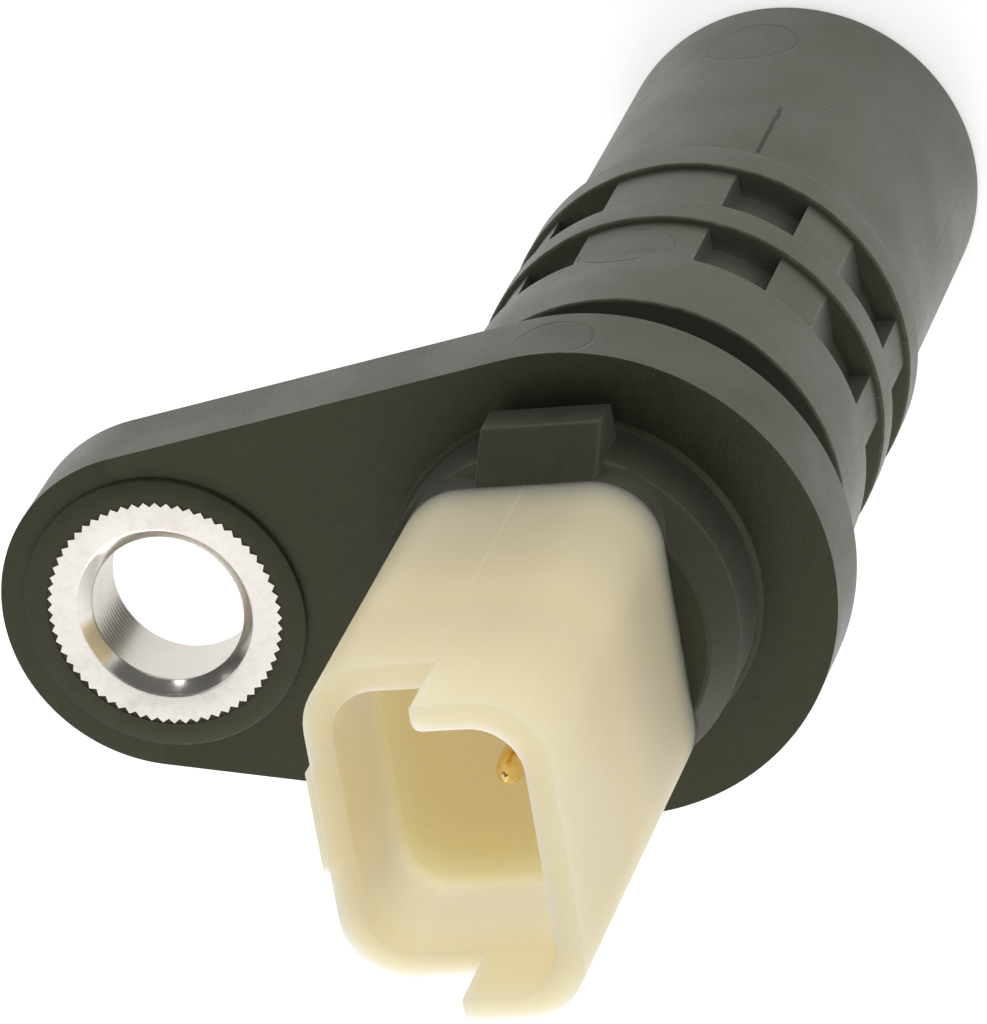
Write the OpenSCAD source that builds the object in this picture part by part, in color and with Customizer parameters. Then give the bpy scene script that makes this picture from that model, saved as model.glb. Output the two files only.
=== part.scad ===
// Inductive crankshaft position sensor. All sizes are in millimetres.
// The origin is the centre of the flat sensing face. +Z runs along the probe axis towards the plug socket,
// and the fixing ear points along -X.

/* [Probe] */
// Radius of the smooth sensing tip
tip_r = 9; // [8:0.1:10]
// Length of the smooth sensing tip
tip_len = 20.65; // [18:0.05:26]
// Rounding of the edge round the sensing face
tip_edge = 0.8; // [0.2:0.1:1.5]
// Rise of the barrel's lands above the tip
land_step = 0.45; // [0.2:0.05:0.8]
// Rise of the rings and of the shoulder above the lands
ring_step = 0.3; // [0.1:0.05:0.6]
// Width of each locating ring
ring_w = 2.15; // [1.5:0.05:3]
// Length of the plain shoulder nearest the flange
shoulder_len = 5.45; // [4:0.05:8]
// Radius of the relief between the shoulder and the flange
neck_r = 7.9; // [7:0.1:8.6]
// Length of the relief between the shoulder and the flange
neck_len = 5.5; // [4:0.1:8]

/* [Pockets] */
// Length of each row of pockets along the barrel
pocket_len = 4.35; // [3:0.05:6]
// Depth of the pockets below the lands
pocket_depth = 1.05; // [0.5:0.05:1.4]
// Width across the broad land on the +Y and -Y sides
mid_land_w = 5.8; // [4:0.1:7]
// Width of the pockets beside the broad land
pocket_w = 3.15; // [2:0.05:3.6]
// Width of the narrow land between two pockets
side_land_w = 1.85; // [1:0.05:2.4]
// Width of the land along the mould's parting plane
seam_land_w = 2.3; // [1.2:0.1:4]

/* [Flange] */
// Thickness of the flange
flange_t = 4.45; // [3:0.05:7]
// Radius of the flange round the probe
flange_r = 11.4; // [10.5:0.1:14]
// Radius of the ear round the bush
ear_r = 7.75; // [7.2:0.05:10]
// Distance from the probe axis to the bush axis
ear_reach = 19.8; // [18:0.1:30]
// Radius of the shallow boss round the bush
boss_r = 6.6; // [5.8:0.1:7]
// Height of the shallow boss above the flange
boss_h = 0.25; // [0.1:0.05:1]

/* [Bush] */
// Radius of the bush over the tips of its knurl
bush_r = 5.5; // [5:0.05:5.7]
// Radius of the bush's bore
bore_r = 3.55; // [2.5:0.05:4]
// Chamfer at both ends of the bore
bore_chamfer = 0.65; // [0.2:0.05:0.8]
// Number of knurl teeth
knurl_teeth = 64; // [32:4:80]
// Depth of the knurl
knurl_depth = 0.22; // [0.1:0.02:0.4]
// Stand-off of the bush below the flange's seat
bush_proud = 0.1; // [0.05:0.05:0.4]

/* [Collar] */
// Offset of the connector axis from the probe axis along X
connector_x = -0.55; // [-2:0.05:2]
// Radius of the collar
collar_r = 8.3; // [8:0.1:10]
// Height of the collar's straight wall
collar_h = 3.5; // [2:0.1:6]
// Height of the collar's sloping shoulder
slope_h = 1.75; // [1:0.05:3]
// Width of the collar's sloping shoulder
slope_w = 1.1; // [0.5:0.05:2]
// Width of the ramp for the plug's latch
ramp_w = 5.6; // [4:0.1:8]
// Reach of the ramp from the probe axis
ramp_reach = 9.2; // [8.9:0.1:10.4]
// Length of the flat top of the ramp along the probe axis
ramp_land = 2; // [1:0.1:2.4]
// Gap between the flange and the ramp, for the hook of the latch
hook_gap = 0.85; // [0.4:0.05:1.5]

/* [Socket] */
// Outer width of the socket along X
socket_w = 11.9; // [11:0.1:15]
// Outer height of the socket along Y
socket_h = 14.8; // [13:0.1:18]
// Outer corner radius of the socket
corner_r = 3; // [2.4:0.1:4]
// Inner corner radius of the socket
inner_corner_r = 2.2; // [1:0.1:3]
// Wall thickness of the socket
wall = 1.2; // [0.8:0.05:1.6]
// Length of the socket from the collar to its short rim
short_len = 18.3; // [14:0.1:24]
// Extra length of the long lip beyond the short rim
lip_len = 4.35; // [2:0.05:8]
// Offset of the lip's edge from the connector axis along X
lip_x = 0.1; // [-2:0.1:2]
// Rounding of the free corners of the long lip
lip_corner = 0.5; // [0.2:0.1:1.5]
// Depth of the socket below its short rim
socket_depth = 6.55; // [4:0.05:10]
// Width of the latch rib on the outer face
rib_w = 4.8; // [3:0.1:7]
// Rise of the latch rib above the outer face
rib_proud = 0.45; // [0.2:0.05:1]
// Length of the latch rib
rib_len = 7.6; // [4:0.1:12]
// Drop of the latch rib's end below the short rim
rib_drop = 0.4; // [0.2:0.1:2]
// Radius of the socket's foot inside the collar
foot_r = 5.5; // [5.3:0.1:5.8]
// Length of the socket's foot inside the collar
foot_len = 6; // [4:0.1:7]
// Width of the keying rim at the end of the foot
foot_rim_w = 0.8; // [0.3:0.1:1.2]
// Thickness of the keying rim at the end of the foot
foot_rim_t = 1.4; // [0.8:0.1:2]

/* [Terminals] */
// Radius of the round contact pins
pin_r = 0.65; // [0.4:0.05:0.65]
// Length of the contact pins above the socket floor
pin_len = 5; // [3:0.1:6]
// Length of the taper at the end of the contact pins
pin_taper = 0.6; // [0.3:0.1:1]
// Offset of the row of pins from the connector axis along X
pin_x = 2.05; // [1:0.05:2.5]
// Offset of the first pin from the connector axis along Y
pin_y = 1.1; // [0.5:0.1:1.4]
// Distance between the two pins
pin_pitch = 3; // [2:0.1:3.2]
// Side of the square legs inside the barrel
leg_w = 1.4; // [1.3:0.05:1.5]
// Distance between the two legs inside the barrel
leg_pitch = 8.2; // [8.2:0.1:9]

/* [Coil] */
// Thickness of plastic in front of the pole pin
face_wall = 1.2; // [0.6:0.1:2]
// Thickness of plastic round the bobbin
side_wall = 2.2; // [1.5:0.1:3]
// Radius of the pole pin
pole_r = 2.4; // [1.5:0.1:2.8]
// Length of the pole pin in front of the bobbin
pole_lead = 1; // [0.5:0.1:2]
// Length of the bobbin
bobbin_len = 13; // [9:0.1:15]
// Thickness of the bobbin's end flanges
bobbin_flange_t = 1.2; // [0.8:0.1:2]
// Wall of the bobbin's hub round the pole pin
hub_wall = 1; // [0.6:0.1:1.4]
// Depth of the winding's surface below the rims of the bobbin
winding_margin = 0.6; // [0.2:0.1:1.5]
// Radius of the magnet
magnet_r = 3; // [2.5:0.1:3.3]
// Length of the magnet
magnet_len = 6; // [4:0.1:9]

/* [Hidden] */
$fn = 96;

// Cuts and joined solids run this far past the face they meet
lap = 0.5;

// Radii along the barrel
land_r = tip_r + land_step;
ring_r = land_r + ring_step;
pocket_floor_r = land_r - pocket_depth;

// Levels along the probe axis, from the sensing face up
far_row_z = tip_len + ring_w;
near_ring_z = far_row_z + pocket_len;
near_row_z = near_ring_z + ring_w;
shoulder_z = near_row_z + pocket_len;
neck_z = shoulder_z + shoulder_len;
seat_z = neck_z + neck_len;
flange_top_z = seat_z + flange_t;
slope_z = flange_top_z + collar_h;
collar_top_z = slope_z + slope_h;
short_rim_z = collar_top_z + short_len;
lip_z = short_rim_z + lip_len;
floor_z = short_rim_z - socket_depth;

// Levels of the coil stack
bobbin_z = face_wall + pole_lead;
bobbin_top_z = bobbin_z + bobbin_len;
bobbin_r = tip_r - side_wall;
winding_r = bobbin_r - winding_margin;
hub_r = pole_r + hub_wall;

// Level of the bars that carry the terminals across from leg to pin
bar_z = neck_z + neck_len / 2;

// Rectangle with round corners, centred on the origin
module rounded_rect(w, h, r) {
    square([w - 2 * r, h], center = true);
    square([w, h - 2 * r], center = true);
    for (sx = [-1, 1], sy = [-1, 1])
        translate([sx * (w / 2 - r), sy * (h / 2 - r)])
            circle(r);
}

// Outline of two circles and the straight sides that touch both
module teardrop(big_r, small_r, reach) {
    nx = -(big_r - small_r) / reach;
    ny = sqrt(1 - nx * nx);
    circle(big_r);
    translate([-reach, 0])
        circle(small_r);
    polygon([
        [big_r * nx, big_r * ny],
        [small_r * nx - reach, small_r * ny],
        [small_r * nx - reach, -small_r * ny],
        [big_r * nx, -big_r * ny]
    ]);
}

// Probe and barrel as one turned form, from the sensing face to inside the flange
module turned_probe() {
    rotate_extrude() {
        square([tip_r - tip_edge, tip_len]);
        translate([0, tip_edge])
            square([tip_r, tip_len - tip_edge]);
        intersection() {
            translate([tip_r - tip_edge, tip_edge])
                circle(tip_edge);
            square([tip_r, tip_len]);
        }
        translate([0, tip_len])
            square([ring_r, ring_w]);
        translate([0, far_row_z])
            square([land_r, pocket_len]);
        translate([0, near_ring_z])
            square([ring_r, ring_w]);
        translate([0, near_row_z])
            square([land_r, pocket_len]);
        translate([0, shoulder_z])
            square([ring_r, shoulder_len]);
        translate([0, neck_z])
            square([neck_r, neck_len + lap]);
    }
}

// One row of pockets. Their side walls run along Y, the way the mould opens.
module pocket_row(z) {
    inner_x = mid_land_w / 2;
    outer_x = inner_x + pocket_w + side_land_w;
    outer_w = max(ring_r - outer_x, 0) + lap;
    translate([0, 0, z])
        linear_extrude(pocket_len)
            difference() {
                for (sx = [-1, 1], sy = [-1, 1])
                    scale([sx, sy]) {
                        translate([inner_x, 0])
                            square([pocket_w, ring_r]);
                        translate([outer_x, seam_land_w / 2])
                            square([outer_w, ring_r]);
                    }
                circle(pocket_floor_r);
            }
}

// Flange with the shallow boss round the bush
module flange() {
    translate([0, 0, seat_z])
        linear_extrude(flange_t)
            teardrop(flange_r, ear_r, ear_reach);
    translate([-ear_reach, 0, seat_z])
        cylinder(h = flange_t + boss_h, r = boss_r);
}

// Stepped collar under the socket, with a pad that carries the socket's corners
module collar() {
    translate([connector_x, 0, seat_z]) {
        cylinder(h = slope_z - seat_z, r = collar_r);
        translate([0, 0, slope_z - seat_z])
            cylinder(h = slope_h, r1 = collar_r, r2 = collar_r - slope_w);
        linear_extrude(collar_top_z - seat_z)
            rounded_rect(socket_w, socket_h, corner_r);
    }
}

// Ramp for the plug's latch: a slope up from the socket, a flat top and a square back that the latch hooks over
module latch_ramp() {
    back_z = flange_top_z + hook_gap;
    translate([ramp_w / 2, 0, 0])
        rotate([90, 0, -90])
            linear_extrude(ramp_w)
                polygon([
                    [0, back_z],
                    [-ramp_reach, back_z],
                    [-ramp_reach, back_z + ramp_land],
                    [-socket_h / 2, collar_top_z],
                    [0, collar_top_z]
                ]);
}

// Room for the coil, its pole pin and its magnet
module coil_room() {
    rotate_extrude() {
        translate([0, face_wall])
            square([pole_r, pole_lead]);
        translate([0, bobbin_z])
            square([bobbin_r, bobbin_flange_t]);
        translate([0, bobbin_z])
            square([winding_r, bobbin_len]);
        translate([0, bobbin_top_z - bobbin_flange_t])
            square([bobbin_r, bobbin_flange_t]);
        translate([0, bobbin_top_z])
            square([magnet_r, magnet_len]);
    }
}

// Foot that keys the socket into the collar
module foot() {
    translate([connector_x, 0, collar_top_z - foot_len]) {
        cylinder(h = foot_len, r = foot_r);
        cylinder(h = foot_rim_t, r = foot_r + foot_rim_w);
    }
}

// One contact: a square leg on the bobbin, a bar across and a round pin into the socket
module terminal(from_y, to_y) {
    axis_x = connector_x + pin_x;
    low_y = min(from_y, to_y) - leg_w / 2;
    high_y = max(from_y, to_y) + leg_w / 2;
    pin_top_z = floor_z + pin_len;
    translate([axis_x - leg_w / 2, from_y - leg_w / 2, bobbin_top_z])
        cube([leg_w, leg_w, bar_z - bobbin_top_z]);
    translate([axis_x - leg_w / 2, low_y, bar_z])
        cube([leg_w, high_y - low_y, leg_w]);
    translate([axis_x, to_y, bar_z + leg_w / 2])
        cylinder(h = pin_top_z - pin_taper - bar_z - leg_w / 2, r = pin_r);
    translate([axis_x, to_y, pin_top_z - pin_taper])
        cylinder(h = pin_taper, r1 = pin_r, r2 = pin_r / 2);
}

module body() {
    color("#2b2b29")
        difference() {
            union() {
                turned_probe();
                flange();
                collar();
                latch_ramp();
            }
            pocket_row(far_row_z);
            pocket_row(near_row_z);
            translate([-ear_reach, 0, seat_z - lap])
                cylinder(h = flange_t + boss_h + 2 * lap, r = bush_r);
            coil_room();
            foot();
            terminal(-leg_pitch / 2, pin_y);
            terminal(leg_pitch / 2, pin_y + pin_pitch);
        }
}

// Outline of the long lip: the socket's outline on one side of its edge, with a full round nose at each free end
module lip_outline() {
    nose_r = wall / 2;
    nose_x = lip_x + nose_r;
    intersection() {
        rounded_rect(socket_w, socket_h, corner_r);
        translate([nose_x, -socket_h])
            square([socket_w, 2 * socket_h]);
    }
    for (sy = [-1, 1])
        translate([nose_x, sy * (socket_h / 2 - nose_r)])
            circle(nose_r);
}

// Side view of the long lip, with rounded free corners
module lip_field() {
    reach = socket_w / 2 - lip_x + lap;
    translate([connector_x + lip_x, socket_h, short_rim_z - lap])
        rotate([90, 0, 0])
            linear_extrude(2 * socket_h) {
                square([reach, lip_len + lap - lip_corner]);
                translate([lip_corner, 0])
                    square([reach - lip_corner, lip_len + lap]);
                translate([lip_corner, lip_len + lap - lip_corner])
                    circle(lip_corner);
            }
}

module connector_shroud() {
    color("#e1d5bc")
        difference() {
            union() {
                translate([connector_x, 0, collar_top_z])
                    linear_extrude(short_len)
                        rounded_rect(socket_w, socket_h, corner_r);
                intersection() {
                    translate([connector_x, 0, short_rim_z - lap])
                        linear_extrude(lip_len + lap)
                            lip_outline();
                    lip_field();
                }
                translate([connector_x - socket_w / 2 - rib_proud, -rib_w / 2, short_rim_z - rib_drop - rib_len])
                    cube([rib_proud + wall / 2, rib_w, rib_len]);
                foot();
            }
            translate([connector_x, 0, floor_z])
                linear_extrude(socket_depth + lip_len + lap)
                    rounded_rect(socket_w - 2 * wall, socket_h - 2 * wall, inner_corner_r);
            for (y = [pin_y, pin_y + pin_pitch])
                translate([connector_x + pin_x, y, collar_top_z - foot_len - lap])
                    cylinder(h = floor_z - collar_top_z + foot_len + 2 * lap, r = pin_r);
        }
}

module bush() {
    length = flange_t + boss_h + bush_proud;
    tooth = 360 / knurl_teeth;
    valley_r = bush_r - knurl_depth;
    profile = [
        for (i = [0:knurl_teeth - 1], half = [0, 1])
            (half == 0 ? bush_r : valley_r)
            * [cos((i + half / 2) * tooth), sin((i + half / 2) * tooth)]
    ];
    wide_r = bore_r + bore_chamfer;
    color("#e4e4e2")
        translate([-ear_reach, 0, seat_z - bush_proud])
            difference() {
                linear_extrude(length)
                    polygon(profile);
                translate([0, 0, -lap])
                    cylinder(h = length + 2 * lap, r = bore_r);
                cylinder(h = bore_chamfer, r1 = wide_r, r2 = bore_r);
                translate([0, 0, length - bore_chamfer])
                    cylinder(h = bore_chamfer, r1 = bore_r, r2 = wide_r);
            }
}

module terminal_a() {
    color("#c9962f")
        terminal(-leg_pitch / 2, pin_y);
}

module terminal_b() {
    color("#c9962f")
        terminal(leg_pitch / 2, pin_y + pin_pitch);
}

module bobbin() {
    color("#d8d2c0")
        translate([0, 0, bobbin_z])
            difference() {
                union() {
                    cylinder(h = bobbin_len, r = hub_r);
                    cylinder(h = bobbin_flange_t, r = bobbin_r);
                    translate([0, 0, bobbin_len - bobbin_flange_t])
                        cylinder(h = bobbin_flange_t, r = bobbin_r);
                }
                translate([0, 0, -lap])
                    cylinder(h = bobbin_len + 2 * lap, r = pole_r);
            }
}

module winding() {
    height = bobbin_len - 2 * bobbin_flange_t;
    color("#b5652b")
        translate([0, 0, bobbin_z + bobbin_flange_t])
            difference() {
                cylinder(h = height, r = winding_r);
                translate([0, 0, -lap])
                    cylinder(h = height + 2 * lap, r = hub_r);
            }
}

module pole_pin() {
    color("#8d9094")
        translate([0, 0, face_wall])
            cylinder(h = pole_lead + bobbin_len, r = pole_r);
}

module magnet() {
    color("#5c5f63")
        translate([0, 0, bobbin_top_z])
            cylinder(h = magnet_len, r = magnet_r);
}

body();
connector_shroud();
bush();
terminal_a();
terminal_b();
bobbin();
winding();
pole_pin();
magnet();
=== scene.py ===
"""Looks of an inductive crankshaft position sensor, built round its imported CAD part."""

from __future__ import annotations

import logging
import math
from dataclasses import dataclass
from enum import Enum
from typing import Callable, Dict, Iterable, List, Mapping, Sequence, Tuple, Union

import bmesh
import bpy
from bmesh.types import BMEdge, BMFace, BMVert
from bpy.types import Material, Object
from mathutils import Euler, Matrix, Vector

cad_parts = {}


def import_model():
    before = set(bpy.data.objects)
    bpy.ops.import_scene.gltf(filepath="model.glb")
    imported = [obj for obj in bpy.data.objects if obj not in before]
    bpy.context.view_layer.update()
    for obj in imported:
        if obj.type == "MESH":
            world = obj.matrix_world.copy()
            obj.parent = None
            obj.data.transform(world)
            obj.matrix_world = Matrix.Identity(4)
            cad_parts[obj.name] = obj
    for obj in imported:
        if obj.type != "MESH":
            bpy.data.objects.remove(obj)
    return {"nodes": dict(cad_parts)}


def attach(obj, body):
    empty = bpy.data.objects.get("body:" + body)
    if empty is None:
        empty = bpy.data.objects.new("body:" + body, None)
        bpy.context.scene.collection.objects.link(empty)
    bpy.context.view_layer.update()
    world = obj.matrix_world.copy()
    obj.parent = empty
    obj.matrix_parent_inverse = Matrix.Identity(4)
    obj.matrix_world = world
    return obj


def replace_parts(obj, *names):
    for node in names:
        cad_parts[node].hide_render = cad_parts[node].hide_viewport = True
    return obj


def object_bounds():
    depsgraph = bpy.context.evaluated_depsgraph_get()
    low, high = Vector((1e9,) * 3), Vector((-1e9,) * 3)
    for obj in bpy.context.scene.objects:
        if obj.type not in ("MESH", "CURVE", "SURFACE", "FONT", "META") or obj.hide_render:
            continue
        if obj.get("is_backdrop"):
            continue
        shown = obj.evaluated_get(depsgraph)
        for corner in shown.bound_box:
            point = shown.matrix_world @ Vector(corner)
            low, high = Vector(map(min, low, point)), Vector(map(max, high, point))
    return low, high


LOG = logging.getLogger("sensor")

# Pieces are worked in millimetres, and the camera, lamps and floor are placed in metres
MM = 0.001
BODY = "root"
TURN_STEPS = 160
ARC_STEPS = 10
LAND_STEP = 2.5
SHARP_ANGLE = math.radians(40)
CLOSE = 1e-3

Point = Tuple[float, float]
Place = Tuple[float, float, float]
Colour = Tuple[float, float, float, float]
Key = Union[int, str]
Materials = Dict[str, Material]

UP: Place = (0.0, 0.0, 1.0)
IN_XY: Place = (1.0, 1.0, 0.0)
IN_XZ: Place = (1.0, 0.0, 1.0)
BLACK: Colour = (0.0, 0.0, 0.0, 1.0)
WHITE: Colour = (1.0, 1.0, 1.0, 1.0)


class Edge(Enum):
    """How far an edge of a moulding is rounded, in millimetres."""

    CRISP = 0.08
    EASED = 0.15


class Wire:
    """An output socket that takes part in Python expressions."""

    def __init__(self, sheet: NodeSheet, socket: bpy.types.NodeSocket) -> None:
        """Keeps the socket and the sheet that it lies on."""
        self.sheet = sheet
        self.socket = socket

    def _math(self, operation: str, first: Feed, second: Feed = 0.0) -> Wire:
        """Adds one Math node.

        Args:
            operation: Name of the Math node's operation.
            first: First operand.
            second: Second operand, where the operation has one.

        Returns:
            The result of the node.
        """
        return self.sheet.wire("ShaderNodeMath", {"operation": operation}, {0: first, 1: second})

    def __add__(self, other: Feed) -> Wire:
        """Sum."""
        return self._math("ADD", self, other)

    def __radd__(self, other: Feed) -> Wire:
        """Sum with the number first."""
        return self._math("ADD", other, self)

    def __sub__(self, other: Feed) -> Wire:
        """Difference."""
        return self._math("SUBTRACT", self, other)

    def __rsub__(self, other: Feed) -> Wire:
        """Difference with the number first."""
        return self._math("SUBTRACT", other, self)

    def __mul__(self, other: Feed) -> Wire:
        """Product."""
        return self._math("MULTIPLY", self, other)

    def __rmul__(self, other: Feed) -> Wire:
        """Product with the number first."""
        return self._math("MULTIPLY", other, self)

    def __abs__(self) -> Wire:
        """Size without its sign."""
        return self._math("ABSOLUTE", self)

    def sine(self) -> Wire:
        """Sine of the value in radians."""
        return self._math("SINE", self)

    def at_least(self, other: Feed) -> Wire:
        """The larger of the two values."""
        return self._math("MAXIMUM", self, other)

    def at_most(self, other: Feed) -> Wire:
        """The smaller of the two values."""
        return self._math("MINIMUM", self, other)


Feed = Union[Wire, float, Sequence[float]]
Feeds = Mapping[Key, Feed]


class NodeSheet:
    """The node tree of one finish, light or backdrop."""

    def __init__(self, tree: bpy.types.NodeTree) -> None:
        """Starts from an empty tree."""
        self.tree = tree
        tree.nodes.clear()

    def node(self, kind: str, settings: Mapping[str, object], feeds: Feeds) -> bpy.types.Node:
        """Adds a node of any type.

        Args:
            kind: Blender's name of the node's type.
            settings: Properties of the node, set before its sockets.
            feeds: Value or wire for each socket, by name or number.

        Returns:
            The new node.
        """
        made = self.tree.nodes.new(kind)
        for name, setting in settings.items():
            setattr(made, name, setting)
        for key, feed in feeds.items():
            if isinstance(feed, Wire):
                self.tree.links.new(feed.socket, made.inputs[key])
            else:
                made.inputs[key].default_value = feed
        return made

    def wire(self, kind: str, settings: Mapping[str, object], feeds: Feeds, out: Key = 0) -> Wire:
        """Adds a node and takes one of its outputs.

        Args:
            kind: Blender's name of the node's type.
            settings: Properties of the node.
            feeds: Value or wire for each socket.
            out: Name or number of the output.

        Returns:
            That output.
        """
        return Wire(self, self.node(kind, settings, feeds).outputs[out])

    def place(self) -> Wire:
        """Place on the piece, in millimetres."""
        at = self.wire("ShaderNodeTexCoord", {}, {}, "Object")
        return self.wire("ShaderNodeVectorMath", {"operation": "SCALE"}, {0: at, "Scale": 1 / MM})

    def stretch(self, at: Wire, by: Place) -> Wire:
        """Place with each axis multiplied by its own number."""
        return self.wire("ShaderNodeVectorMath", {"operation": "MULTIPLY"}, {0: at, 1: by})

    def axes(self, at: Wire) -> Tuple[Wire, Wire, Wire]:
        """The three parts of a place."""
        split = self.node("ShaderNodeSeparateXYZ", {}, {0: at})
        return tuple(Wire(self, out) for out in split.outputs)

    def distance(self, at: Wire, to: Place, keep: Place) -> Wire:
        """Distance of a place from a point.

        Args:
            at: The place.
            to: The point, in millimetres.
            keep: One for each axis that counts and zero for the others.

        Returns:
            The distance in millimetres.
        """
        flat = self.stretch(at, keep)
        target = tuple(a * b for a, b in zip(to, keep))
        return self.wire("ShaderNodeVectorMath", {"operation": "DISTANCE"}, {0: flat, 1: target}, "Value")

    def noise(self, at: Wire, scale: float, detail: float = 2.0, rough: float = 0.55) -> Wire:
        """Soft noise of the given number of blots to the millimetre."""
        feeds = {"Vector": at, "Scale": scale, "Detail": detail, "Roughness": rough}
        return self.wire("ShaderNodeTexNoise", {}, feeds)

    def fade(self, value: Wire, low: float, high: float) -> Wire:
        """Smooth step from nought at low to one at high."""
        feeds = {"Value": value, "From Min": low, "From Max": high}
        return self.wire("ShaderNodeMapRange", {"interpolation_type": "SMOOTHSTEP"}, feeds)

    def near(self, value: Wire, width: float, core: float = 0.35) -> Wire:
        """One where the value is nought, falling from its core to nought at the width."""
        return 1.0 - self.fade(abs(value), width * core, width)

    def tint(self, mask: Feed, base: Feed, over: Feed) -> Wire:
        """Lays one colour over another through a mask."""
        return self.wire("ShaderNodeMix", {"data_type": "RGBA"}, {0: mask, 6: base, 7: over}, 2)

    def attribute(self, name: str) -> Wire:
        """A number kept on the piece's own mesh."""
        return self.wire("ShaderNodeAttribute", {"attribute_name": name}, {}, "Fac")

    def relief(self, height: Wire) -> Wire:
        """Surface normal of a relief whose height is in millimetres."""
        return self.wire("ShaderNodeBump", {}, {"Strength": 1.0, "Distance": MM, "Height": height})


def make_material(name: str, shade: Callable[[NodeSheet], Feeds]) -> Material:
    """Makes a material with one surface shader.

    Args:
        name: Name of the material.
        shade: Works out on a sheet what feeds the shader.

    Returns:
        The material, with its nodes in place.
    """
    made = bpy.data.materials.new(name)
    made.use_nodes = True
    sheet = NodeSheet(made.node_tree)
    shader = sheet.wire("ShaderNodeBsdfPrincipled", {}, shade(sheet))
    sheet.node("ShaderNodeOutputMaterial", {}, {"Surface": shader})
    return made


def put(name: str, data: bpy.types.ID) -> Object:
    """Puts a new object with the given data into the scene.

    Args:
        name: Name of the object.
        data: Its mesh, lamp or camera.

    Returns:
        The object.
    """
    made = bpy.data.objects.new(name, data)
    bpy.context.scene.collection.objects.link(made)
    return made


def put_mesh(name: str, mesh: bmesh.types.BMesh, material: Material) -> Object:
    """Puts a worked mesh into the scene and frees it.

    Args:
        name: Name of the object.
        mesh: The mesh, in metres.
        material: Material that it takes.

    Returns:
        The object.
    """
    data = bpy.data.meshes.new(name)
    mesh.to_mesh(data)
    mesh.free()
    data.materials.append(material)
    return put(name, data)


def edges_of(points: Iterable[BMVert]) -> List[BMEdge]:
    """Every edge that touches the points, once each and in their order."""
    return list(dict.fromkeys(e for v in points for e in v.link_edges))


@dataclass(frozen=True)
class Finish:
    """A finish of the record that can be made into a material."""

    slot: str

    def shade(self, sheet: NodeSheet) -> Feeds:
        """Works out what feeds the shader of the finish."""
        raise NotImplementedError

    def material(self) -> Material:
        """Makes the finish into a material of the slot's name."""
        return make_material(self.slot, self.shade)


@dataclass(frozen=True)
class PinWitness:
    """Round mark that a mould's ejector pin leaves on the upper side."""

    x: float
    z: float
    radius: float
    depth: float
    from_y: float = 6.5


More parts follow.
